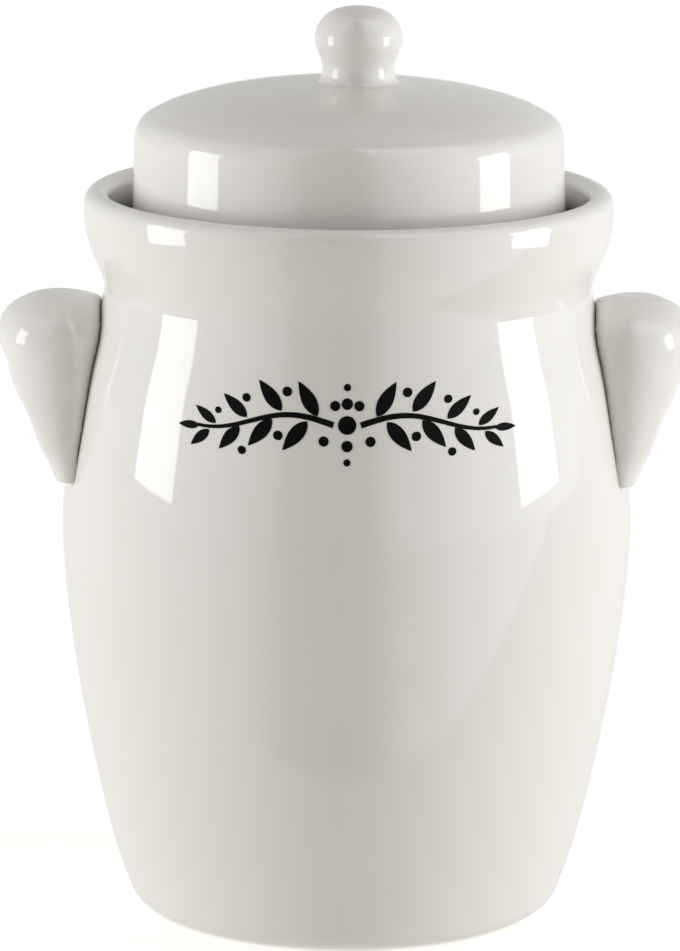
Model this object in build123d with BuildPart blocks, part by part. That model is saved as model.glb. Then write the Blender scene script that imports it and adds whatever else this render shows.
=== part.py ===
import os
from math import radians, sin

from build123d import *

# A two-handled stoneware fruit crock. Its bell lid stands in a water gutter
# around the mouth, and a split weight stone lies inside on the floor.
# Millimetres, +Z up. X runs through the two handles, the front faces -Y, and
# the origin is the centre of the foot on the surface the crock stands on.

# ---- crock body --------------------------------------------------------------
foot_radius = 73.8           # where the belly line would meet the table
heel_rounding = 7.0          # rounds the foot's outer edge
lower_belly_radius = 89.4
lower_belly_height = 55.0
middle_belly_radius = 97.7
middle_belly_height = 105.0
belly_radius = 100.0         # widest, all round
belly_height = 138.0
upper_belly_radius = 95.7
upper_belly_height = 173.0
shoulder_radius = 90.8
shoulder_height = 199.0
waist_radius = 85.2          # drawn in under the collar
foot_spread = 0.42           # how fast the belly widens as it leaves the foot
waist_draw = -0.18           # and narrows as it reaches the shelf
shelf_height = 221.0         # flat shoulder that carries the collar
wall = 7.0
floor_thickness = 9.0
floor_rounding = 6.0
shelf_thickness = 7.0
shoulder_rounding = 9.0      # inside, under the shelf
throat_rounding = 3.0        # inside, where the shelf turns up into the neck
foot_ring_width = 10.0
foot_recess_depth = 2.0
foot_recess_rounding = 1.2

# ---- neck --------------------------------------------------------------------
mouth_radius = 60.5
neck_wall = 6.5
neck_height = 41.0           # above the shelf
neck_radius = mouth_radius + neck_wall
neck_rim_rounding = 3.0

# ---- collar ------------------------------------------------------------------
luting_gap = 0.3             # slip between the collar and the neck
gutter_floor_thickness = 10.0
lip_radius = 87.85           # centre line of the rounded lip
lip_thickness = 9.0
lip_rise = 30.2              # from the shelf to the middle of the lip's round
lip_band_height = 8.5        # upright band under the lip's round
cove_radius = 88.3           # the outside of the flare, part way up
cove_rise = 10.0
gutter_radius = 80.4         # outer wall of the gutter at its floor
gutter_rounding = 2.5

# ---- lid ---------------------------------------------------------------------
seat_gap = 0.3               # glaze film between the skirt's foot and the gutter
skirt_foot_radius = 76.2
skirt_top_radius = 74.6      # where skirt and dome would meet without rounding
skirt_rise = 48.0            # from the skirt's foot to that corner
dome_rise = 14.1             # from that corner to the crown
dome_flat_radius = 52.2      # how far out the dome's flat top reaches
lid_shoulder_rounding = 9.0
lid_wall = 6.0
skirt_foot_rounding = 2.0

# ---- lid knob ----------------------------------------------------------------
knob_offset = 3.0            # set a little to the right of the lid's centre
knob_radius = 15.3
knob_neck_radius = 12.6
knob_foot_flare = 1.4
knob_foot_draw = -0.4        # how fast the knob narrows as it leaves the lid
knob_neck_rise = 4.2         # from the crown to the knob's narrowest part
knob_ball_rise = 15.0        # from the crown to the ball's widest part
knob_cap_radius = 11.4       # where the ball turns over into its top
knob_cap_rise = 23.2
knob_rise = 26.3             # from the crown to the knob's top

# ---- ear handles -------------------------------------------------------------
ear_projection = 22.2        # reaches out beyond the crock's widest line
ear_foot_projection = 5.8    # and this far at its foot
ear_top_projection = 3.0     # highest point of the closed top
ear_centre_setback = 2.0     # widest line of the ear's plan, inside the crock's
ear_root_depth = 23.0        # the plan's half length towards the crock
ear_width = 55.0
ear_drop = 2.2               # from the shelf down to the ear's top
ear_cap_height = 16.6        # from the top down to where it reaches out furthest
ear_leg_length = 47.5        # from there down to the foot
ear_bow = 1.8                # how the outside curves from crown to foot
ear_dome = 2.2               # roundness of the closed top
ear_fullness = 0.6           # how square its plan is: 0.55 round, 1 square
ear_hollow_fullness = 0.8
ear_wall = 6.5
ear_mouth_setback = 1.2      # the slanted mouth starts this far inside the reach
ear_mouth_foot_projection = 2.4
ear_mouth_bow = 1.0          # how far the mouth bulges between top and foot
ear_rim_share = 0.3          # of the wall, rounded along the outside of the mouth
ear_hollow_share = 0.22      # and along the hollow's edge
ear_sections = 4             # even steps of the plan from foot to crown
ear_crown_turns = (0, 18, 36, 54, 70, 80)  # degrees up the rounded top

# ---- weight stone ------------------------------------------------------------
stone_radius = 62.0
stone_thickness = 18.0
stone_split = 3.0            # gap between the two halves
stone_finger_radius = 9.0
stone_rounding = 3.0

match = 0.01                 # how closely an edge's radius is told

collar_top = shelf_height + lip_rise + lip_thickness / 2
gutter_floor = shelf_height + gutter_floor_thickness
skirt_foot = gutter_floor + seat_gap
lid_corner = skirt_foot + skirt_rise
lid_crown = lid_corner + dome_rise
neck_top = shelf_height + neck_height
ear_reach = belly_radius + ear_projection
ear_centre_x = belly_radius - ear_centre_setback
ear_top_x = belly_radius + ear_top_projection
ear_top_height = shelf_height - ear_drop
ear_crown_height = ear_top_height - ear_cap_height
ear_foot_height = ear_crown_height - ear_leg_length


def belly_line(inset):
    """The crock's outline below and above its widest line, moved in by inset."""
    below = (
        (foot_radius, 0),
        (lower_belly_radius, lower_belly_height),
        (middle_belly_radius, middle_belly_height),
        (belly_radius, belly_height),
    )
    above = (
        (belly_radius, belly_height),
        (upper_belly_radius, upper_belly_height),
        (shoulder_radius, shoulder_height),
        (waist_radius, shelf_height),
    )
    return [[(radius - inset, height) for radius, height in half] for half in (below, above)]


def belly_solid(inset, low, high, low_rounding=0, high_rounding=0):
    """The turned shape inside the crock's outline, cut off flat at two heights."""
    below, above = belly_line(inset)
    with BuildPart() as turned:
        with BuildSketch(Plane.XZ) as half:
            with BuildLine():
                Spline(*below, tangents=[(foot_spread, 1), (0, 1)])
                Spline(*above, tangents=[(0, 1), (waist_draw, 1)])
                Polyline(above[-1], (0, above[-1][1]), (0, below[0][1]), below[0])
            make_face()
            with Locations((0, low)):
                Rectangle(2 * belly_radius, high - low, align=(Align.MIN, Align.MIN), mode=Mode.INTERSECT)
            outer_corners = half.vertices().sort_by(Axis.X)[2:].sort_by(Axis.Y)
            if low_rounding:
                fillet(outer_corners[0], low_rounding)
            if high_rounding:
                fillet(outer_corners[-1], high_rounding)
        revolve(axis=Axis.Z)
    return turned.part


def bell_solid(inset):
    """The lid's outer shape moved in by inset: a skirt under a shallow dome."""
    foot = (skirt_foot_radius - inset, skirt_foot)
    corner = (skirt_top_radius - inset, lid_corner - inset)
    crown = (0, lid_crown - inset)
    with BuildPart() as bell:
        with BuildSketch(Plane.XZ) as half:
            with BuildLine():
                Line(foot, corner)
                Bezier(corner, (dome_flat_radius - inset, lid_crown - inset), crown)
                Polyline(crown, (0, skirt_foot), foot)
            make_face()
            shoulder = half.vertices().sort_by_distance(corner)[0]
            fillet(shoulder, lid_shoulder_rounding - inset)
        revolve(axis=Axis.Z)
    return bell.part


os.makedirs("parts", exist_ok=True)

# ---- crock_body: floor, belly, shoulder shelf and neck -------------------------
with BuildPart() as crock_body:
    add(belly_solid(0, 0, shelf_height, low_rounding=heel_rounding))
    with Locations((0, 0, shelf_height)):
        Cylinder(neck_radius, neck_height, align=(Align.CENTER, Align.CENTER, Align.MIN))
    add(
        belly_solid(wall, floor_thickness, shelf_height - shelf_thickness, floor_rounding, shoulder_rounding),
        mode=Mode.SUBTRACT,
    )
    with Locations((0, 0, neck_top)):
        Cylinder(mouth_radius, neck_height + shelf_thickness,
                 align=(Align.CENTER, Align.CENTER, Align.MAX), mode=Mode.SUBTRACT)
    mouth_edges = crock_body.edges().filter_by(GeomType.CIRCLE).group_by(Axis.Z)
    fillet(mouth_edges[-1], neck_rim_rounding)
    throat = (
        crock_body.edges()
        .filter_by(GeomType.CIRCLE)
        .filter_by(lambda edge: abs(edge.radius - mouth_radius) < match)
        .sort_by(Axis.Z)[0]
    )
    fillet(throat, throat_rounding)
    foot_recess_radius = foot_radius - heel_rounding - foot_ring_width
    Cylinder(foot_recess_radius, foot_recess_depth,
             align=(Align.CENTER, Align.CENTER, Align.MIN), mode=Mode.SUBTRACT)
    recess_edge = crock_body.edges().filter_by(GeomType.CIRCLE).group_by(Axis.Z)[0].sort_by(SortBy.RADIUS)[0]
    fillet(recess_edge, foot_recess_rounding)

# ---- gutter_collar: flared ring pushed over the neck ---------------------------
lip_inner_radius = lip_radius - lip_thickness / 2
lip_outer_radius = lip_radius + lip_thickness / 2
lip_middle = shelf_height + lip_rise
with BuildPart() as gutter_collar:
    with BuildSketch(Plane.XZ):
        with BuildLine():
            Spline(
                (waist_radius, shelf_height),
                (cove_radius, shelf_height + cove_rise),
                (lip_outer_radius, lip_middle - lip_band_height),
                tangents=[(0, 1), (0, 1)],
            )
            Line((lip_outer_radius, lip_middle - lip_band_height), (lip_outer_radius, lip_middle))
            ThreePointArc(
                (lip_outer_radius, lip_middle),
                (lip_radius, collar_top),
                (lip_inner_radius, lip_middle),
            )
            Polyline(
                (lip_inner_radius, lip_middle),
                (gutter_radius, gutter_floor),
                (neck_radius + luting_gap, gutter_floor),
                (neck_radius + luting_gap, shelf_height),
                (waist_radius, shelf_height),
            )
        make_face()
    revolve(axis=Axis.Z)
    gutter_corner = (
        gutter_collar.edges()
        .filter_by(GeomType.CIRCLE)
        .filter_by(lambda edge: abs(edge.radius - gutter_radius) < match)
    )
    fillet(gutter_corner, gutter_rounding)

# ---- lid: bell with a deep skirt -----------------------------------------------
with BuildPart() as lid:
    add(bell_solid(0))
    add(bell_solid(lid_wall), mode=Mode.SUBTRACT)
    skirt_edges = lid.edges().filter_by(GeomType.CIRCLE).group_by(Axis.Z)[0]
    fillet(skirt_edges, skirt_foot_rounding)

# ---- lid_knob: squashed ball on a short neck ------------------------------------
knob_neck = (knob_neck_radius, lid_crown + knob_neck_rise)
knob_side = (knob_radius, lid_crown + knob_ball_rise)
knob_foot = (knob_neck_radius + knob_foot_flare, lid_crown - knob_foot_flare)
knob_cap = (knob_cap_radius, lid_crown + knob_cap_rise)
knob_top = (0, lid_crown + knob_rise)
with BuildPart() as lid_knob:
    with BuildSketch(Plane(origin=(knob_offset, 0, 0), x_dir=(1, 0, 0), z_dir=(0, -1, 0))):
        with BuildLine():
            Line((0, knob_foot[1]), knob_foot)
            Spline(knob_foot, knob_neck, knob_side, tangents=[(knob_foot_draw, 1), (0, 1)])
            Spline(knob_side, knob_cap, knob_top, tangents=[(0, 1), (-1, 0)])
            Line(knob_top, (0, knob_foot[1]))
        make_face()
    revolve(axis=Axis((knob_offset, 0, 0), (0, 0, 1)))
    add(bell_solid(0), mode=Mode.SUBTRACT)


# ---- handles: hooded ears with a finger hollow -----------------------------------
def ear_plan(height, inset, taper):
    """Centre, root depth, outer depth and half width of the ear's plan at a height."""
    top = ear_top_height - inset
    reach = ear_reach - inset
    half_width = ear_width / 2 - inset
    if height <= ear_crown_height:
        fall = (ear_crown_height - height) / (ear_crown_height - ear_foot_height)
        outside = reach - taper * fall ** ear_bow
        return ear_centre_x, ear_root_depth, outside - ear_centre_x, half_width
    rise = (height - ear_crown_height) / (top - ear_crown_height)
    shrink = (1 - rise ** ear_dome) ** (1 / ear_dome)
    centre = ear_centre_x + (ear_top_x - ear_centre_x) * (1 - shrink)
    outer = (reach - ear_top_x) * shrink + ear_top_x - centre
    root = (ear_top_x - ear_centre_x + ear_root_depth) * shrink - ear_top_x + centre
    return centre, root, outer, half_width * shrink


def ear_solid(inset, taper, fullness):
    """Smooth solid through the ear's plans: tapered outside, or the hollow inside."""
    top = ear_top_height - inset
    step = (ear_crown_height - ear_foot_height) / ear_sections
    below = [ear_foot_height + step * count for count in range(ear_sections + 1)]
    above = [ear_crown_height + (top - ear_crown_height) * sin(radians(turn)) for turn in ear_crown_turns]
    with BuildPart() as ear:
        for heights in (below, above):
            for height in heights:
                centre, root, outer, half_width = ear_plan(height, inset, taper)
                with BuildSketch(Plane.XY.offset(height)):
                    with BuildLine():
                        EllipticalCenterArc((centre, 0), root, half_width, start_angle=90, arc_size=180)
                        Bezier(
                            (centre, -half_width),
                            (centre + fullness * outer, -half_width),
                            (centre + outer, -fullness * half_width),
                            (centre + outer, 0),
                        )
                        Bezier(
                            (centre + outer, 0),
                            (centre + outer, fullness * half_width),
                            (centre + fullness * outer, half_width),
                            (centre, half_width),
                        )
                    make_face()
            loft()
    return ear.part


ear_mouth_foot = Vector(belly_radius + ear_mouth_foot_projection, ear_foot_height)
ear_mouth_top = Vector(ear_reach - ear_mouth_setback, ear_crown_height)
ear_mouth_chord = ear_mouth_top - ear_mouth_foot
ear_mouth_radius = ear_mouth_chord.length ** 2 / (8 * ear_mouth_bow) + ear_mouth_bow / 2
ear_mouth_inward = ear_mouth_chord.rotate(Axis.Z, 90).normalized()
ear_mouth_centre = (
    (ear_mouth_foot + ear_mouth_top) / 2
    + ear_mouth_inward * (ear_mouth_radius - ear_mouth_bow)
)
with BuildPart() as right_handle:
    add(ear_solid(0, ear_projection - ear_foot_projection, ear_fullness))
    with BuildSketch(Plane.XZ):
        with Locations(ear_mouth_centre):
            Circle(ear_mouth_radius)
    extrude(amount=ear_width, both=True, mode=Mode.INTERSECT)
    mouth = right_handle.faces().filter_by(GeomType.CYLINDER)[0]
    fillet(mouth.edges().filter_by(GeomType.LINE, reverse=True), ear_rim_share * ear_wall)
    add(ear_solid(ear_wall, 0, ear_hollow_fullness), mode=Mode.SUBTRACT)
    mouth = right_handle.faces().filter_by(GeomType.CYLINDER)[0]
    hollow_edges = right_handle.edges(Select.LAST)
    hollow_rim = mouth.edges().filter_by(lambda edge: edge in hollow_edges and edge.length > ear_wall)
    fillet(hollow_rim, ear_hollow_share * ear_wall)
    add(belly_solid(0, 0, shelf_height), mode=Mode.SUBTRACT)

with BuildPart() as left_handle:
    add(mirror(right_handle.part, about=Plane.YZ, mode=Mode.PRIVATE))


# ---- weight stone: two half moons with a finger hole between them -----------------
def weight_stone(side):
    """One half of the split stone, on the +Y side for 1 and the -Y side for -1."""
    with BuildPart() as stone:
        with BuildSketch(Plane.XY.offset(floor_thickness)):
            Circle(stone_radius)
            Rectangle(2 * stone_radius, stone_split, mode=Mode.SUBTRACT)
            Circle(stone_finger_radius, mode=Mode.SUBTRACT)
        extrude(amount=stone_thickness)
        split(bisect_by=Plane.XZ, keep=Keep.BOTTOM if side > 0 else Keep.TOP)
        rims = stone.edges().filter_by(Plane.XY)
        fillet(rims, stone_rounding)
    return stone.part


weight_stone_rear = weight_stone(1)
weight_stone_front = weight_stone(-1)

pieces = {
    "crock_body": crock_body.part,
    "gutter_collar": gutter_collar.part,
    "left_handle": left_handle.part,
    "right_handle": right_handle.part,
    "lid": lid.part,
    "lid_knob": lid_knob.part,
    "weight_stone_front": weight_stone_front,
    "weight_stone_rear": weight_stone_rear,
}
for name, piece in pieces.items():
    piece.label = name
    export_step(piece, f"parts/{name}.step")
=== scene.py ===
from math import atan2, cos, exp, hypot, pi, radians, sin, tan

import bpy
import numpy as np
from mathutils import Matrix, Vector


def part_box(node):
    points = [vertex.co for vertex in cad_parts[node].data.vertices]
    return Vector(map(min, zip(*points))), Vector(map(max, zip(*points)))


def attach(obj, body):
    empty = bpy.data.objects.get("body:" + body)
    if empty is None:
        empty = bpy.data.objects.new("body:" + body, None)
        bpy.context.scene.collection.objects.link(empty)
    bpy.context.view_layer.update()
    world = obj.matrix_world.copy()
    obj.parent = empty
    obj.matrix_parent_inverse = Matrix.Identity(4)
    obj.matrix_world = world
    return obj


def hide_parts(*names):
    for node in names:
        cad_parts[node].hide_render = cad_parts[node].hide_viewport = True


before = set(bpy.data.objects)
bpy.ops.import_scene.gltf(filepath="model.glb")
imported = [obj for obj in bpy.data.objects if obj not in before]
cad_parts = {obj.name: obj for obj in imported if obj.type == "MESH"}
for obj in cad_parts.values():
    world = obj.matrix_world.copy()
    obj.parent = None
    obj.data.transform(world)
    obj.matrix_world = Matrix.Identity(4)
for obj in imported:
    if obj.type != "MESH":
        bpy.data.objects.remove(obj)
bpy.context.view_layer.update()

# A stoneware fruit crock with its bell lid on, on a pale studio floor.
# Blender works in metres. The dictionaries give millimetres, +Z up, and the
# front faces -Y.

mm = 0.001
print("frame loaded")


def deselectAll():
    if bpy.context.mode != "OBJECT":
        bpy.ops.object.mode_set(mode="OBJECT")
    bpy.ops.object.select_all(action="DESELECT")


def pick(piece):
    deselectAll()
    piece.select_set(True)
    bpy.context.view_layer.objects.active = piece


def applyModifier(piece, kind, **settings):
    pick(piece)
    modifier = piece.modifiers.new(kind, kind)
    for key, value in settings.items():
        setattr(modifier, key, value)
    bpy.ops.object.modifier_apply(modifier=modifier.name)


def placeInMesh(piece):
    pick(piece)
    bpy.ops.object.transform_apply(location=True, rotation=True, scale=True)


def smoothFaces(piece, angle):
    pick(piece)
    bpy.ops.object.shade_smooth_by_angle(angle=radians(angle))


# outlines are lists of (radius, height) in millimetres, from the axis outwards

def splineThrough(knots, startSlope, endSlope, spacing):
    # a clamped cubic through the knots, so that reflections run on without a kink
    points = np.array(knots, float)
    chords = np.hypot(*np.diff(points, axis=0).T)
    count = len(points)
    system = np.eye(count)
    slopes = np.zeros((count, 2))
    slopes[0] = np.array(startSlope) / hypot(*startSlope)
    slopes[-1] = np.array(endSlope) / hypot(*endSlope)
    for i in range(1, count - 1):
        before, after = chords[i - 1], chords[i]
        system[i, i - 1 : i + 2] = 1 / before, 2 / before + 2 / after, 1 / after
        slopes[i] = 3 * (points[i] - points[i - 1]) / before**2
        slopes[i] += 3 * (points[i + 1] - points[i]) / after**2
    slopes = np.linalg.solve(system, slopes)
    path = []
    for i, chord in enumerate(chords):
        steps = max(2, round(chord / spacing))
        for t in np.arange(steps) / steps:
            path.append(
                points[i] * (1 + 2 * t) * (1 - t) ** 2
                + slopes[i] * chord * t * (1 - t) ** 2
                + points[i + 1] * t**2 * (3 - 2 * t)
                + slopes[i + 1] * chord * t**2 * (t - 1)
            )
    return [tuple(point) for point in path] + [tuple(points[-1])]


def roundedOutline(corners, steps=7):
    # a corner given as (radius, height, rounding) becomes an arc between its neighbours
    outline = []
    for i, corner in enumerate(corners):
        here = Vector(corner[:2])
        if len(corner) < 3:
            outline.append(tuple(here))
            continue
        inward = (Vector(corners[i - 1][:2]) - here).normalized()
        onward = (Vector(corners[(i + 1) % len(corners)][:2]) - here).normalized()
        half = inward.angle(onward) / 2
        centre = here + (inward + onward).normalized() * corner[2] / sin(half)
        first = here + inward * corner[2] / tan(half) - centre
        turn = Vector(first).angle_signed(here + onward * corner[2] / tan(half) - centre)
        for step in range(steps + 1):
            spoke = first.copy()
            spoke.rotate(Matrix.Rotation(-turn * step / steps, 2))
            outline.append(tuple(centre + spoke))
    return outline


def turnOutline(name, outline, steps, axisX=0.0):
    # draws the outline as a chain of edges and spins it round the upright axis
    deselectAll()
    bpy.ops.mesh.primitive_plane_add(size=mm)
    piece = bpy.context.object
    piece.name = name
    piece.data.name = name
    bpy.ops.object.mode_set(mode="EDIT")
    bpy.ops.mesh.select_all(action="SELECT")
    bpy.ops.mesh.merge(type="CENTER")
    radius, height = outline[0]
    bpy.ops.transform.translate(value=(radius * mm, 0, height * mm))
    for nextRadius, nextHeight in outline[1:]:
        step = ((nextRadius - radius) * mm, 0, (nextHeight - height) * mm)
        bpy.ops.mesh.extrude_vertices_move(TRANSFORM_OT_translate={"value": step})
        radius, height = nextRadius, nextHeight
    bpy.ops.mesh.select_all(action="SELECT")
    bpy.ops.mesh.spin(steps=steps, angle=2 * pi, center=(0, 0, 0), axis=(0, 0, 1))
    bpy.ops.mesh.select_all(action="SELECT")
    bpy.ops.mesh.remove_doubles(threshold=0.01 * mm)
    bpy.ops.mesh.normals_make_consistent(inside=False)
    if axisX:
        bpy.ops.transform.translate(value=(axisX * mm, 0, 0))
    bpy.ops.object.mode_set(mode="OBJECT")
    smoothFaces(piece, 40)
    return piece


def linear(hexColour):
    channels = [int(hexColour[i : i + 2], 16) / 255 for i in (1, 3, 5)]
    return [c / 12.92 if c <= 0.04045 else ((c + 0.055) / 1.055) ** 2.4 for c in channels] + [1.0]


def addNode(tree, kind, settings=None, links=None):
    node = tree.nodes.new(kind)
    for key, value in (settings or {}).items():
        if isinstance(key, int) or key in node.inputs:
            node.inputs[key].default_value = value
        else:
            setattr(node, key, value)
    for key, source in (links or {}).items():
        tree.links.new(source, node.inputs[key])
    return node


def newMaterial(name):
    material = bpy.data.materials.new(name)
    material.use_nodes = True
    tree = material.node_tree
    tree.nodes.clear()
    return material, tree


def finish(piece, material):
    piece.data.materials.clear()
    piece.data.materials.append(material)


whiteGlaze = {
    "colour": "#E9E8E6",
    "thinColour": "#E4E3E0",     # where the glaze runs thinner
    "clayColour": "#B4AB9B",
    "mottle": 45.0,              # size of the cloudy tone changes
    "wave": 22.0,                # size of the swells left in the fired surface
    "waveHeight": 0.035,
    "roughness": 0.045,
    "ior": 1.52,
    # painted shade in the gutter: its heights, radius, blur and grey-brown colour
    "gutterShadeHeights": (243.5, 249.5),  # painted shade low in the gutter, fading out between these heights
    "gutterShadeRadius": 84.3,          # only the wall and floor inside this get the painted shade
    "gutterShadeBlur": 0.3,
    "gutterShadeColour": "#5E574A",
    "glazeEdge": 0.7,            # the foot below this height is wiped bare
    "edgeBlur": 0.3,
    "clayRoughness": 0.7,
    "creaseShadeColour": "#C4BDB1",   # painted shade in creases and joints, where little light reaches
    "creaseReach": 6.0,
    "creaseShare": (0.40, 0.84), # how open a spot is, where the painted shade is full and where it ends
    "creaseFoot": (8.0, 16.0),   # no painted shade below these heights, where the floor is near
}


def makeWhiteGlaze(name, bareFoot=False, paintedGutterShade=False):
    # tin-white stoneware glaze, dipped and fired: a glassy skin with slight swells
    # that bend the reflections of the lamps
    material, tree = newMaterial(name)
    where = addNode(tree, "ShaderNodeTexCoord")
    mottle = addNode(
        tree, "ShaderNodeTexNoise",
        {"Scale": 1 / (whiteGlaze["mottle"] * mm), "Detail": 3.0, "Roughness": 0.5},
        {"Vector": where.outputs["Object"]},
    )
    tone = addNode(
        tree, "ShaderNodeMix",
        {"data_type": "RGBA", 6: linear(whiteGlaze["colour"]), 7: linear(whiteGlaze["thinColour"])},
        {0: mottle.outputs["Fac"]},
    )
    # painted shade: ambient occlusion darkens creases and joints towards the crease shade colour
    shutIn = addNode(
        tree, "ShaderNodeAmbientOcclusion",
        {"samples": 8, "Distance": whiteGlaze["creaseReach"] * mm},
    )
    openness = addNode(
        tree, "ShaderNodeMapRange",
        {"From Min": whiteGlaze["creaseShare"][0], "From Max": whiteGlaze["creaseShare"][1]},
        {0: shutIn.outputs["AO"]},
    )
    height = addNode(tree, "ShaderNodeSeparateXYZ", None, {0: where.outputs["Object"]})
    atFoot = addNode(
        tree, "ShaderNodeMapRange",
        {"From Min": whiteGlaze["creaseFoot"][1] * mm, "From Max": whiteGlaze["creaseFoot"][0] * mm},
        {0: height.outputs["Z"]},
    )
    creased = addNode(
        tree, "ShaderNodeMath", {"operation": "MAXIMUM"},
        {0: openness.outputs[0], 1: atFoot.outputs[0]},
    )
    tone = addNode(
        tree, "ShaderNodeMix",
        {"data_type": "RGBA", 6: linear(whiteGlaze["creaseShadeColour"])},
        {0: creased.outputs[0], 7: tone.outputs[2]},
    )
    swell = addNode(
        tree, "ShaderNodeTexNoise",
        {"Scale": 1 / (whiteGlaze["wave"] * mm), "Detail": 1.0, "Roughness": 0.4},
        {"Vector": where.outputs["Object"]},
    )
    skin = addNode(
        tree, "ShaderNodeBump",
        {"Strength": 1.0, "Distance": whiteGlaze["waveHeight"] * mm},
        {"Height": swell.outputs["Fac"]},
    )
    shader = addNode(
        tree, "ShaderNodeBsdfPrincipled",
        {"Roughness": whiteGlaze["roughness"], "IOR": whiteGlaze["ior"]},
        {"Base Color": tone.outputs[2], "Normal": skin.outputs["Normal"]},
    )
    if paintedGutterShade:
        # painted shade: low in the gutter the glaze is coloured grey-brown, standing in for the shadow there,
        # not a stain; a guess: the photograph shows the gutter nearly black low down, which may be all shadow
        flat = addNode(
            tree, "ShaderNodeVectorMath", {"operation": "MULTIPLY", 1: (1, 1, 0)},
            {0: where.outputs["Object"]},
        )
        radius = addNode(tree, "ShaderNodeVectorMath", {"operation": "LENGTH"}, {0: flat.outputs[0]})
        inside = addNode(
            tree, "ShaderNodeMapRange",
            {
                "From Min": (whiteGlaze["gutterShadeRadius"] + whiteGlaze["gutterShadeBlur"]) * mm,
                "From Max": (whiteGlaze["gutterShadeRadius"] - whiteGlaze["gutterShadeBlur"]) * mm,
            },
            {0: radius.outputs["Value"]},
        )
        under = addNode(
            tree, "ShaderNodeMapRange",
            {"From Min": whiteGlaze["gutterShadeHeights"][1] * mm, "From Max": whiteGlaze["gutterShadeHeights"][0] * mm},
            {0: height.outputs["Z"]},
        )
        gutterShadeShare = addNode(
            tree, "ShaderNodeMath", {"operation": "MULTIPLY"},
            {0: inside.outputs[0], 1: under.outputs[0]},
        )
        tone = addNode(
            tree, "ShaderNodeMix",
            {"data_type": "RGBA", 7: linear(whiteGlaze["gutterShadeColour"])},
            {0: gutterShadeShare.outputs[0], 6: tone.outputs[2]},
        )
        tree.links.new(tone.outputs[2], shader.inputs["Base Color"])
    if bareFoot:
        edge = addNode(
            tree, "ShaderNodeMapRange",
            {
                "From Min": (whiteGlaze["glazeEdge"] - whiteGlaze["edgeBlur"]) * mm,
                "From Max": (whiteGlaze["glazeEdge"] + whiteGlaze["edgeBlur"]) * mm,
            },
            {0: height.outputs["Z"]},
        )
        clayTone = addNode(
            tree, "ShaderNodeMix",
            {"data_type": "RGBA", 6: linear(whiteGlaze["clayColour"])},
            {0: edge.outputs[0], 7: tone.outputs[2]},
        )
        gloss = addNode(
            tree, "ShaderNodeMapRange",
            {"To Min": whiteGlaze["clayRoughness"], "To Max": whiteGlaze["roughness"]},
            {0: edge.outputs[0]},
        )
        tree.links.new(clayTone.outputs[2], shader.inputs["Base Color"])
        tree.links.new(gloss.outputs[0], shader.inputs["Roughness"])
    addNode(tree, "ShaderNodeOutputMaterial", None, {"Surface": shader.outputs[0]})
    return material


glazed = makeWhiteGlaze("whiteGlaze")
glazedFoot = makeWhiteGlaze("whiteGlazeBareFoot", bareFoot=True)
shadedGutterGlaze = makeWhiteGlaze("whiteGlazePaintedGutterShade", paintedGutterShade=True)
print("finishes made")

# the pot itself, with its foot ring, shoulder and neck
crockBody = {
    "footRadius": 73.8,
    "heelRounding": 10.0,
    "lowerBelly": ((89.4, 55.0), (97.7, 105.0)),
    "bellyHeight": 138.0,
    "upperBelly": ((95.7, 173.0), (90.8, 199.0)),
    "footSpread": 0.42,          # how fast the belly widens as it leaves the foot
    "waistDraw": -0.18,
    "waistRadius": 85.2,
    "wall": 7.0,
    "floorThickness": 9.0,
    "floorRounding": 6.0,
    "shelfThickness": 7.0,
    "shoulderRounding": 9.0,
    "throatRounding": 3.0,
    "footRecessRadius": 56.8,
    "footRecessDepth": 2.0,
    "recessRounding": 1.2,
    "ringRounding": 0.5,
    "mouthRadius": 60.5,
    "neckRadius": 67.0,
    "rimRounding": 3.0,
    "outlineSpacing": 3.5,
    "turnSteps": 224,
}


def bellyLine(inset):
    body = crockBody
    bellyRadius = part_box("crock_body")[1].x / mm
    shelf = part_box("gutter_collar")[0].z / mm
    widest = (bellyRadius, body["bellyHeight"])
    below = [(body["footRadius"], 0), *body["lowerBelly"], widest]
    above = [widest, *body["upperBelly"], (body["waistRadius"], shelf)]
    line = splineThrough(below, (body["footSpread"], 1), (0, 1), body["outlineSpacing"])[:-1]
    line += splineThrough(above, (0, 1), (body["waistDraw"], 1), body["outlineSpacing"])
    return [(radius - inset, height) for radius, height in line]


def makeCrockBody():
    body = crockBody
    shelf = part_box("gutter_collar")[0].z / mm
    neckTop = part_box("crock_body")[1].z / mm
    outside = bellyLine(0)
    inside = bellyLine(body["wall"])
    ceiling = shelf - body["shelfThickness"]
    low = body["floorThickness"]
    innerWall = [p for p in inside if low + body["floorRounding"] < p[1] < ceiling - body["shoulderRounding"]]
    cornerLow = np.interp(low, *reversed(list(zip(*inside))))
    cornerHigh = np.interp(ceiling, *reversed(list(zip(*inside))))
    outline = roundedOutline(
        [
            (0, body["footRecessDepth"]),
            (body["footRecessRadius"], body["footRecessDepth"], body["recessRounding"]),
            (body["footRecessRadius"], 0, body["ringRounding"]),
            (body["footRadius"], 0, body["heelRounding"]),
            *[p for p in outside if body["heelRounding"] < p[1] < shelf - 2],
            (body["waistRadius"], shelf),
            (body["neckRadius"], shelf),
            (body["neckRadius"], neckTop, body["rimRounding"]),
            (body["mouthRadius"], neckTop, body["rimRounding"]),
            (body["mouthRadius"], ceiling, body["throatRounding"]),
            (cornerHigh, ceiling, body["shoulderRounding"]),
            *reversed(innerWall),
            (cornerLow, low, body["floorRounding"]),
            (0, low),
        ]
    )
    piece = turnOutline("crockBody", outline, body["turnSteps"])
    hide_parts("crock_body")
    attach(piece, "crock")
    finish(piece, glazedFoot)
    return piece


crock = makeCrockBody()
print("crock body turned")

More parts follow.
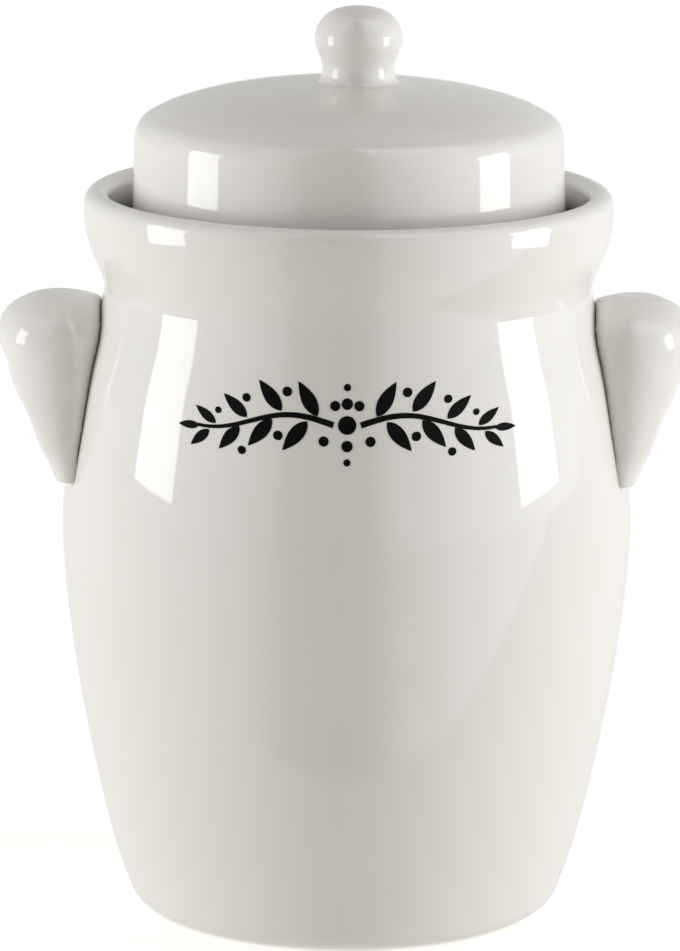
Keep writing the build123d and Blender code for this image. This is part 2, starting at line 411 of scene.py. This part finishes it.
# the flared ring that forms the water gutter round the neck
gutterCollar = {
    "innerRadius": 67.3,
    "floorRise": 10.0,           # the gutter's floor above the shelf
    "coveRadius": 88.3,
    "coveRise": 10.0,
    "bandHeight": 8.5,
    "bandDrop": 0.4,             # how far the band has drawn in at its foot
    "lipThickness": 9.0,
    "gutterRadius": 80.4,
    "gutterRounding": 2.5,
    "outlineSpacing": 1.5,
    "turnSteps": 224,
}


def makeGutterCollar():
    collar = gutterCollar
    low, high = (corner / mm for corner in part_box("gutter_collar"))
    halfLip = collar["lipThickness"] / 2
    lipMiddle = high.z - halfLip
    bandLow = lipMiddle - collar["bandHeight"]
    cove = splineThrough(
        [
            (crockBody["waistRadius"], low.z),
            (collar["coveRadius"], low.z + collar["coveRise"]),
            (high.x - collar["bandDrop"], bandLow),
            (high.x, lipMiddle),
        ],
        (0, 1), (0, 1), collar["outlineSpacing"],
    )[:-1]
    lip = [
        (high.x - halfLip + halfLip * cos(radians(a)), lipMiddle + halfLip * sin(radians(a)))
        for a in range(0, 181, 10)
    ]
    gutterFloor = low.z + collar["floorRise"]
    outline = roundedOutline(
        [
            (collar["innerRadius"], low.z),
            *cove,
            *lip,
            (collar["gutterRadius"], gutterFloor, collar["gutterRounding"]),
            (collar["innerRadius"], gutterFloor),
        ]
    )
    piece = turnOutline("gutterCollar", outline + outline[:1], collar["turnSteps"])
    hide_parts("gutter_collar")
    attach(piece, "crock")
    # the collar's glaze carries the painted gutter shade
    finish(piece, shadedGutterGlaze)


makeGutterCollar()
print("gutter collar turned")

# the lid's dome and deep skirt
bellLid = {
    "topRadius": 74.6,           # where skirt and dome would meet without rounding
    "domeRise": 14.1,
    "flatRadius": 52.2,          # how far out the dome's flat top reaches
    "shoulderRounding": 9.0,
    "wall": 6.0,
    "footRounding": 2.0,
    "turnSteps": 224,
}


def domePoints(inset, steps=22):
    # from the shoulder up to the crown, with the shoulder's corner left out
    lid = bellLid
    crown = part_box("lid")[1].z / mm - inset
    corner = (lid["topRadius"] - inset, crown - lid["domeRise"])
    flat = (lid["flatRadius"] - inset, crown)
    first = steps // 5
    return [
        tuple((1 - t) ** 2 * a + 2 * t * (1 - t) * b + t**2 * c for a, b, c in zip(corner, flat, (0, crown)))
        for t in (step / steps for step in range(first, steps + 1))
    ]


def makeBellLid():
    lid = bellLid
    low, high = (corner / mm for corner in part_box("lid"))
    cornerHeight = high.z - lid["domeRise"]
    wall = lid["wall"]
    outline = roundedOutline(
        [
            *reversed(domePoints(wall)),
            (lid["topRadius"] - wall, cornerHeight - wall, lid["shoulderRounding"] - wall),
            (high.x - wall, low.z, lid["footRounding"]),
            (high.x, low.z, lid["footRounding"]),
            (lid["topRadius"], cornerHeight, lid["shoulderRounding"]),
            *domePoints(0),
        ],
        steps=10,
    )
    piece = turnOutline("bellLid", outline, lid["turnSteps"])
    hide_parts("lid")
    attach(piece, "lid")
    finish(piece, glazed)


makeBellLid()
print("bell lid turned")

# the knob, luted on a little off the lid's middle
ballKnob = {
    "footRadius": 15.2,
    "footDepth": 0.46,           # the foot reaches this far below the lid's crown
    "footDraw": (-1.0, 0.08),    # a cove of slip runs out onto the dome
    "neckRadius": 12.6,
    "neckRise": 4.2,
    "ballRise": 15.0,
    "capRadius": 11.4,
    "capRise": 23.2,
    "rings": ((6.8, 0.1), (4.2, 0.06)),   # radius and depth of the marks left by turning
    "ringWidth": 0.8,
    "neckSpacing": 0.6,
    "capSpacing": 0.4,
    "turnSteps": 128,
}


def makeBallKnob():
    knob = ballKnob
    low, high = (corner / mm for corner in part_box("lid_knob"))
    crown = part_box("lid")[1].z / mm
    ballRadius = (high.x - low.x) / 2
    side = (ballRadius, crown + knob["ballRise"])
    foot = (knob["footRadius"], crown - knob["footDepth"])
    neck = splineThrough(
        [foot, (knob["neckRadius"], crown + knob["neckRise"]), side],
        knob["footDraw"], (0, 1), knob["neckSpacing"],
    )
    cap = splineThrough(
        [side, (knob["capRadius"], crown + knob["capRise"]), (0, high.z)],
        (0, 1), (-1, 0), knob["capSpacing"],
    )
    cap = [
        (r, z - sum(depth * exp(-(((r - ring) / knob["ringWidth"]) ** 2)) for ring, depth in knob["rings"]))
        for r, z in cap
    ]
    outline = [(0, crown - knob["footDepth"]), *neck, *cap[1:]]
    piece = turnOutline("ballKnob", outline, knob["turnSteps"], axisX=(high.x + low.x) / 2)
    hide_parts("lid_knob")
    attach(piece, "lid")
    finish(piece, glazed)


makeBallKnob()
print("ball knob turned")

# the two ears
earHandle = {
    "voxel": 0.8,
    "softening": 22,             # passes that round the pressed clay's edges
    # where the thumb pressed: from and to beside the axis, from and to in height,
    # how far out and up the clay went, and how wide a patch went with it
    "presses": (
        ((112, 125), (205, 212), (2.4, -0.4), 10),
        ((97, 106), (150, 158), (-1.3, 0.2), 13),
    ),
    "rightWidth": 0.953,         # the right ear stands out a little less,
    "seam": 86.0,                # measured from here
}


def makeEarHandle(name, node):
    # the ear's block is remeshed and smoothed, as wet clay is with a sponge
    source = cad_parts[node]
    piece = source.copy()
    piece.data = source.data.copy()
    piece.name = name
    piece.data.name = name
    bpy.context.scene.collection.objects.link(piece)
    pick(piece)
    for key in list(piece.keys()):
        if key.startswith("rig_"):
            del piece[key]
    bpy.ops.object.mode_set(mode="EDIT")
    bpy.ops.mesh.select_all(action="SELECT")
    bpy.ops.mesh.remove_doubles(threshold=0.005 * mm)
    bpy.ops.object.mode_set(mode="OBJECT")
    applyModifier(piece, "REMESH", mode="VOXEL", voxel_size=earHandle["voxel"] * mm)
    applyModifier(piece, "SMOOTH", factor=0.5, iterations=earHandle["softening"])
    side = 1 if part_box(node)[1].x > 0 else -1
    for across, heights, (out, up), patch in earHandle["presses"]:
        pick(piece)
        for vertex in piece.data.vertices:
            outward, height = side * vertex.co.x / mm, vertex.co.z / mm
            vertex.select = across[0] < outward < across[1] and heights[0] < height < heights[1]
        bpy.ops.object.mode_set(mode="EDIT")
        bpy.ops.mesh.select_mode(type="VERT")
        bpy.ops.transform.translate(
            value=(side * out * mm, 0, up * mm), use_proportional_edit=True,
            proportional_edit_falloff="SMOOTH", proportional_size=patch * mm,
        )
        bpy.ops.object.mode_set(mode="OBJECT")
    if side > 0:
        bpy.ops.object.mode_set(mode="EDIT")
        bpy.ops.mesh.select_all(action="SELECT")
        bpy.ops.transform.resize(
            value=(earHandle["rightWidth"], 1, 1), center_override=(earHandle["seam"] * mm, 0, 0),
        )
        bpy.ops.object.mode_set(mode="OBJECT")
    smoothFaces(piece, 60)
    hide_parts(node)
    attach(piece, "crock")
    finish(piece, glazed)


makeEarHandle("leftEar", "left_handle")
makeEarHandle("rightEar", "right_handle")
print("ears pressed")

# a printed sprig of leaves and berries, between the ears
fruitSprig = {
    "middle": 190.0,             # its height on the belly
    "stem": (4.6, 50.5, 3.0),    # from, to, and how far it sways up and down
    "stemWidth": (2.1, 1.1),
    # where along the stem, turned how far from it, and how large
    "leafTurns": (
        (0.10, 44, 1.0), (0.17, -62, 1.0), (0.36, 56, 0.95), (0.43, -39, 0.95),
        (0.61, 60, 0.82), (0.67, -32, 0.82), (0.84, 46, 0.66), (0.89, -38, 0.66), (0.955, -4, 0.55),
    ),
    "leaf": (13.0, 4.9),         # length and width of the largest
    "leafStalk": 1.6,            # from the stem's middle to the leaf's base
    # where along the stem, how far from it, and how large
    "berries": (
        (0.03, 6.2, 1.7), (0.03, -6.2, 1.7), (0.335, -7.6, 1.6), (0.435, 6.6, 1.6),
        (0.59, -7.6, 1.4), (0.725, 8.6, 1.4), (0.83, -5.4, 1.1),
    ),
    "heart": ((0.0, 3.1), (7.0, 1.9), (-7.0, 1.9), (12.4, 1.2), (-12.4, 1.2)),
    "standOff": 150.0,           # in front of the crock, before it is pressed on
    "lift": 0.05,                # above the glaze
    "thickness": 0.1,
    "sliceWidth": 2.5,
    "black": "#050505",
    "roughness": 0.6,
    "specular": 0.06,
}


def drawFilled(name, points):
    # a closed outline on the XZ plane, drawn point by point and filled
    deselectAll()
    bpy.ops.mesh.primitive_plane_add(size=mm)
    shape = bpy.context.object
    shape.name = name
    bpy.ops.object.mode_set(mode="EDIT")
    bpy.ops.mesh.select_all(action="SELECT")
    bpy.ops.mesh.merge(type="CENTER")
    x, z = points[0]
    bpy.ops.transform.translate(value=(x * mm, 0, z * mm))
    for nextX, nextZ in points[1:]:
        step = ((nextX - x) * mm, 0, (nextZ - z) * mm)
        bpy.ops.mesh.extrude_vertices_move(TRANSFORM_OT_translate={"value": step})
        x, z = nextX, nextZ
    bpy.ops.mesh.select_all(action="SELECT")
    bpy.ops.mesh.edge_face_add()
    bpy.ops.object.mode_set(mode="OBJECT")
    return shape


def copyShape(source, x, z, turn=0.0, size=1.0):
    shape = source.copy()
    shape.data = source.data.copy()
    bpy.context.scene.collection.objects.link(shape)
    shape.location = (x * mm, 0, z * mm)
    shape.rotation_euler = (0, -turn, 0)
    shape.scale = (size, size, size)
    return shape


def stemPoint(u):
    first, last, sway = fruitSprig["stem"]
    return Vector((first + (last - first) * u, fruitSprig["middle"] + sway * sin(2 * pi * 0.8 * u)))


def stemHeading(u):
    step = stemPoint(u + 0.01) - stemPoint(u - 0.01)
    return atan2(step.y, step.x)


def makeFruitSprig():
    sprig = fruitSprig
    length, width = sprig["leaf"]
    edge = [(length * t, width / 2 * sin(pi * t**0.8) ** 0.9) for t in (i / 12 for i in range(13))]
    leaf = drawFilled("leaf", edge + [(x, -z) for x, z in reversed(edge[1:-1])])
    deselectAll()
    bpy.ops.mesh.primitive_circle_add(vertices=24, radius=mm, fill_type="NGON", rotation=(radians(90), 0, 0))
    berry = bpy.context.object
    placeInMesh(berry)

    stemSteps = [i / 24 for i in range(25)]
    upper, lower = [], []
    for u in stemSteps:
        thick = sprig["stemWidth"][0] + (sprig["stemWidth"][1] - sprig["stemWidth"][0]) * u
        across = Vector((-sin(stemHeading(u)), cos(stemHeading(u)))) * thick / 2
        upper.append(tuple(stemPoint(u) + across))
        lower.append(tuple(stemPoint(u) - across))
    shapes = [drawFilled("stem", upper + lower[::-1])]
    for u, turn, size in sprig["leafTurns"]:
        heading = stemHeading(u) + radians(turn)
        base = stemPoint(u) + Vector((cos(heading), sin(heading))) * sprig["leafStalk"]
        shapes.append(copyShape(leaf, base.x, base.y, heading, size))
    for u, away, size in sprig["berries"]:
        across = Vector((-sin(stemHeading(u)), cos(stemHeading(u)))) * away
        spot = stemPoint(u) - across
        shapes.append(copyShape(berry, spot.x, spot.y, 0, size))
    half = len(shapes)
    for rise, size in sprig["heart"]:
        shapes.append(copyShape(berry, 0, sprig["middle"] + rise, 0, size))

    deselectAll()
    for shape in shapes[:half]:
        shape.select_set(True)
    bpy.context.view_layer.objects.active = shapes[0]
    bpy.ops.object.join()
    placeInMesh(shapes[0])
    applyModifier(shapes[0], "MIRROR", use_axis=(True, False, False), use_mirror_merge=False)
    deselectAll()
    for shape in (shapes[0], *shapes[half:]):
        shape.select_set(True)
    bpy.context.view_layer.objects.active = shapes[0]
    bpy.ops.object.join()
    piece = shapes[0]
    placeInMesh(piece)
    for spare in (leaf, berry):
        bpy.data.objects.remove(spare)

    # cut across every few millimetres, so that it can bend round the belly
    reach = sprig["stem"][1] + length
    pick(piece)
    bpy.ops.object.mode_set(mode="EDIT")
    cut = -reach
    while cut < reach:
        bpy.ops.mesh.select_all(action="SELECT")
        bpy.ops.mesh.bisect(plane_co=(cut * mm, 0, 0), plane_no=(1, 0, 0))
        cut += sprig["sliceWidth"]
    bpy.ops.mesh.select_all(action="SELECT")
    bpy.ops.transform.translate(value=(0, -sprig["standOff"] * mm, 0))
    bpy.ops.object.mode_set(mode="OBJECT")
    applyModifier(
        piece, "SHRINKWRAP", target=crock, wrap_method="PROJECT", use_project_y=True,
        use_negative_direction=False, use_positive_direction=True, offset=sprig["lift"] * mm,
    )
    bpy.ops.object.mode_set(mode="EDIT")
    bpy.ops.mesh.select_all(action="SELECT")
    bpy.ops.mesh.normals_make_consistent(inside=False)
    bpy.ops.mesh.select_mode(type="FACE")
    bpy.ops.mesh.select_all(action="DESELECT")
    bpy.ops.object.mode_set(mode="OBJECT")
    for face in piece.data.polygons:
        face.select = face.normal.y > 0
    bpy.ops.object.mode_set(mode="EDIT")
    bpy.ops.mesh.flip_normals()
    bpy.ops.object.mode_set(mode="OBJECT")
    applyModifier(piece, "SOLIDIFY", thickness=sprig["thickness"] * mm, offset=1.0)
    smoothFaces(piece, 30)
    piece.name = "fruitSprig"
    piece.data.name = "fruitSprig"
    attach(piece, "crock")

    # black enamel printed over the glaze and fired matt, so it takes no reflections
    material, tree = newMaterial("mattBlackEnamel")
    shader = addNode(
        tree, "ShaderNodeBsdfPrincipled",
        {
            "Base Color": linear(sprig["black"]), "Roughness": sprig["roughness"],
            "Specular IOR Level": sprig["specular"],
        },
    )
    addNode(tree, "ShaderNodeOutputMaterial", None, {"Surface": shader.outputs[0]})
    piece.data.materials.clear()
    piece.data.materials.append(material)


makeFruitSprig()
print("sprig fired on")

# the split stone inside keeps its CAD shape and only gets a finish
weightStone = {
    "clay": "#BCA98C",
    "toasted": "#A38D6F",        # where the kiln's flame caught it
    "grit": "#8A7860",
    "patch": 38.0,               # size of the toasted patches
    "grain": 1.1,                # size of the sand in the clay
    "grainHeight": 0.08,
    "gritShare": (0.62, 0.7),    # how strong a grain is, where it starts to show and shows fully
    "roughness": 0.78,
    "ior": 1.45,
}


def makeBareStoneware():
    # unglazed buff clay with sand in it, cut from a slab and sponged, then fired
    stone = weightStone
    material, tree = newMaterial("bareStoneware")
    where = addNode(tree, "ShaderNodeTexCoord")
    patches = addNode(
        tree, "ShaderNodeTexNoise",
        {"Scale": 1 / (stone["patch"] * mm), "Detail": 4.0},
        {"Vector": where.outputs["Object"]},
    )
    grains = addNode(
        tree, "ShaderNodeTexNoise",
        {"Scale": 1 / (stone["grain"] * mm), "Detail": 2.0},
        {"Vector": where.outputs["Object"]},
    )
    sandy = addNode(
        tree, "ShaderNodeMapRange",
        {"From Min": stone["gritShare"][0], "From Max": stone["gritShare"][1]},
        {0: grains.outputs["Fac"]},
    )
    tone = addNode(
        tree, "ShaderNodeMix",
        {"data_type": "RGBA", 6: linear(stone["clay"]), 7: linear(stone["toasted"])},
        {0: patches.outputs["Fac"]},
    )
    speckled = addNode(
        tree, "ShaderNodeMix",
        {"data_type": "RGBA", 7: linear(stone["grit"])},
        {0: sandy.outputs[0], 6: tone.outputs[2]},
    )
    skin = addNode(
        tree, "ShaderNodeBump",
        {"Strength": 1.0, "Distance": stone["grainHeight"] * mm},
        {"Height": grains.outputs["Fac"]},
    )
    shader = addNode(
        tree, "ShaderNodeBsdfPrincipled",
        {"Roughness": stone["roughness"], "IOR": stone["ior"]},
        {"Base Color": speckled.outputs[2], "Normal": skin.outputs["Normal"]},
    )
    addNode(tree, "ShaderNodeOutputMaterial", None, {"Surface": shader.outputs[0]})
    return material


bareStoneware = makeBareStoneware()
for node in ("weight_stone_front", "weight_stone_rear"):
    finish(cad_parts[node], bareStoneware)
print("stones finished")

# the camera, as the photograph was taken
camera = {
    "place": (0, -2084.7, 592.2),
    "pitch": 11.89,
    "yaw": 0.066,                # looks a hair to the left of the crock's axis
    "roll": 0.42,
    "lens": 228.86,
    "sensor": 36.0,
}


def makeCamera():
    bpy.ops.object.camera_add()
    view = bpy.context.object
    view.data.sensor_width = camera["sensor"]
    view.data.lens = camera["lens"]
    view.matrix_world = (
        Matrix.Translation(Vector(camera["place"]) * mm)
        @ Matrix.Rotation(radians(camera["yaw"]), 4, "Z")
        @ Matrix.Rotation(radians(90 - camera["pitch"]), 4, "X")
        @ Matrix.Rotation(radians(camera["roll"]), 4, "Z")
    )
    bpy.context.scene.camera = view


makeCamera()

# lamps and paper floor
studio = {
    # narrow windows beside the crock, that only draw their bright shapes on the glaze:
    # away from the axis, from and to in depth, from and to in height
    "window": (400.0, (-166.0, -22.0), (170.0, 396.0)),
    "windowGlow": (5.1, 5.4),    # left and right, in times the white of paper
    # large soft panels further out, that give the even light
    "panelAway": 1500.0,
    "panelTurn": 82.0,           # degrees round from the camera's direction
    "panelSize": (785.0, 840.0),
    "panelGlow": (6.4, 7.3),
    "floorRadius": 9000.0,
    "floorFront": -183.0,        # where the white paper ends, as the glaze sees it
    "frontBlur": 5.0,
    "floorShare": 0.8,           # beyond it the floor takes on the walls' brightness
    "paper": "#F6F5F2",
    "paperSeen": "#EDEBE6",      # what the glaze mirrors of it
    "paperLight": "#D7D4CD",     # and the light it throws back up
    "white": "#FFFFFF",
    "paperLift": 0.42,           # the light that the room gives back to the paper
    "shadowReach": (75.0, 230.0),
}


def makeLamp(name, place, turn, size, glow, onGlazeOnly):
    deselectAll()
    bpy.ops.object.light_add(
        type="AREA", location=[part * mm for part in place], rotation=(radians(90), 0, radians(turn)),
    )
    lamp = bpy.context.object
    lamp.name = name
    lamp.data.shape = "RECTANGLE"
    lamp.data.size, lamp.data.size_y = (part * mm for part in size)
    lamp.data.energy = glow * pi * lamp.data.size * lamp.data.size_y
    lamp.visible_camera = False
    lamp.visible_diffuse = not onGlazeOnly
    lamp.visible_glossy = onGlazeOnly


def lightStudio():
    windowAway, depths, heights = studio["window"]
    away, turn = studio["panelAway"], radians(studio["panelTurn"])
    for side, name in ((-1, "left"), (1, "right")):
        which = (side + 1) // 2
        makeLamp(
            name + "Window",
            (side * windowAway, sum(depths) / 2, sum(heights) / 2), side * 90,
            (depths[1] - depths[0], heights[1] - heights[0]), studio["windowGlow"][which], True,
        )
        makeLamp(
            name + "Panel",
            (side * away * sin(turn), -away * cos(turn), studio["panelSize"][1] / 2),
            side * studio["panelTurn"], studio["panelSize"], studio["panelGlow"][which], False,
        )


lightStudio()

# the room round the studio
room = {
    # brightness of the walls, going round from the camera's direction, in degrees
    "walls": ((-180, 0.5), (-110, 0.4), (0, 0.28), (110, 0.42), (180, 0.5)),
    # and as the glaze sees them: a dim gap behind the camera, with a sharp left edge
    "mirrored": (
        (-180, 0.6), (-120, 0.6), (-95, 0.9), (-50, 1.2), (-32, 0.9), (-24, 0.2),
        (7, 0.2), (20, 1.6), (45, 2.2), (90, 2.1), (125, 0.9), (180, 0.7),
    ),
    "brightest": 4.0,
    "warmth": "#FFFAF1",         # the walls' tint
    "ceiling": 1.4,              # the ceiling, as a share of the walls
    "ceilingRise": (0.60, 0.85), # sine of the elevation, from wall to ceiling
}


def addRing(tree, stops, tint, place):
    # a brightness that changes with the bearing round the crock's axis
    ahead = addNode(tree, "ShaderNodeMath", {"operation": "MULTIPLY", 1: -1.0}, {0: place.outputs["Y"]})
    bearing = addNode(
        tree, "ShaderNodeMath", {"operation": "ARCTAN2"},
        {0: place.outputs["X"], 1: ahead.outputs[0]},
    )
    share = addNode(tree, "ShaderNodeMapRange", {"From Min": -pi, "From Max": pi}, {0: bearing.outputs[0]})
    ring = addNode(tree, "ShaderNodeValToRGB", None, {0: share.outputs[0]})
    marks = ring.color_ramp.elements
    while len(marks) < len(stops):
        marks.new(0.5)
    for mark, (turn, value) in zip(marks, stops):
        mark.position = (turn + 180) / 360
        mark.color = [channel * value / room["brightest"] for channel in linear(tint)]
    return ring


def makeFloor():
    deselectAll()
    bpy.ops.mesh.primitive_circle_add(vertices=96, radius=studio["floorRadius"] * mm, fill_type="NGON")
    floor = bpy.context.object
    floor.name = "studioFloor"
    material, tree = newMaterial("whitePaper")
    where = addNode(tree, "ShaderNodeTexCoord")
    path = addNode(tree, "ShaderNodeLightPath")
    place = addNode(tree, "ShaderNodeSeparateXYZ", None, {0: where.outputs["Object"]})
    onPaper = addNode(
        tree, "ShaderNodeMapRange",
        {
            "From Min": (studio["floorFront"] - studio["frontBlur"]) * mm,
            "From Max": (studio["floorFront"] + studio["frontBlur"]) * mm,
        },
        {0: place.outputs["Y"]},
    )
    ring = addRing(tree, room["mirrored"], studio["white"], place)
    beyond = addNode(
        tree, "ShaderNodeEmission", {"Strength": room["brightest"] * studio["floorShare"]},
        {"Color": ring.outputs[0]},
    )
    close = addNode(tree, "ShaderNodeEmission", {"Color": linear(studio["paperSeen"])})
    mirrored = addNode(
        tree, "ShaderNodeMixShader", None,
        {0: onPaper.outputs[0], 1: beyond.outputs[0], 2: close.outputs[0]},
    )
    bounced = addNode(tree, "ShaderNodeEmission", {"Color": linear(studio["paperLight"])})
    glowing = addNode(
        tree, "ShaderNodeMixShader", None,
        {0: path.outputs["Is Glossy Ray"], 1: bounced.outputs[0], 2: mirrored.outputs[0]},
    )
    paper = addNode(tree, "ShaderNodeBsdfDiffuse", {"Color": linear(studio["paper"])})
    lift = addNode(
        tree, "ShaderNodeEmission",
        {"Color": linear(studio["white"]), "Strength": studio["paperLift"]},
    )
    near = addNode(tree, "ShaderNodeAddShader", None, {0: paper.outputs[0], 1: lift.outputs[0]})
    far = addNode(tree, "ShaderNodeEmission", {"Color": linear(studio["white"]), "Strength": 1.0})
    reach = addNode(tree, "ShaderNodeVectorMath", {"operation": "LENGTH"}, {0: where.outputs["Object"]})
    shadowNear, shadowFar = studio["shadowReach"]
    spread = addNode(
        tree, "ShaderNodeMapRange",
        {"From Min": shadowNear * mm, "From Max": shadowFar * mm, "interpolation_type": "SMOOTHSTEP"},
        {0: reach.outputs["Value"]},
    )
    seen = addNode(
        tree, "ShaderNodeMixShader", None,
        {0: spread.outputs[0], 1: near.outputs[0], 2: far.outputs[0]},
    )
    whole = addNode(
        tree, "ShaderNodeMixShader", None,
        {0: path.outputs["Is Camera Ray"], 1: glowing.outputs[0], 2: seen.outputs[0]},
    )
    addNode(tree, "ShaderNodeOutputMaterial", None, {"Surface": whole.outputs[0]})
    floor.data.materials.append(material)


makeFloor()


def makeRoom():
    world = bpy.data.worlds.new("studioRoom")
    bpy.context.scene.world = world
    world.use_nodes = True
    tree = world.node_tree
    tree.nodes.clear()
    where = addNode(tree, "ShaderNodeTexCoord")
    path = addNode(tree, "ShaderNodeLightPath")
    heading = addNode(tree, "ShaderNodeSeparateXYZ", None, {0: where.outputs["Generated"]})
    rings = [
        addRing(tree, room["walls"], room["warmth"], heading),
        addRing(tree, room["mirrored"], studio["white"], heading),
    ]
    chosen = addNode(
        tree, "ShaderNodeMix", {"data_type": "RGBA"},
        {0: path.outputs["Is Glossy Ray"], 6: rings[0].outputs[0], 7: rings[1].outputs[0]},
    )
    rise = addNode(
        tree, "ShaderNodeMapRange",
        {
            "From Min": room["ceilingRise"][0], "From Max": room["ceilingRise"][1],
            "To Min": room["brightest"], "To Max": room["brightest"] * room["ceiling"],
            "interpolation_type": "SMOOTHSTEP",
        },
        {0: heading.outputs["Z"]},
    )
    light = addNode(
        tree, "ShaderNodeBackground", None,
        {"Color": chosen.outputs[2], "Strength": rise.outputs[0]},
    )
    backdrop = addNode(tree, "ShaderNodeBackground", {"Color": linear(studio["white"]), "Strength": 1.0})
    both = addNode(
        tree, "ShaderNodeMixShader", None,
        {0: path.outputs["Is Camera Ray"], 1: light.outputs[0], 2: backdrop.outputs[0]},
    )
    addNode(tree, "ShaderNodeOutputWorld", None, {"Surface": both.outputs[0]})


makeRoom()
bpy.context.scene.view_settings.view_transform = "Standard"
print("studio lit")
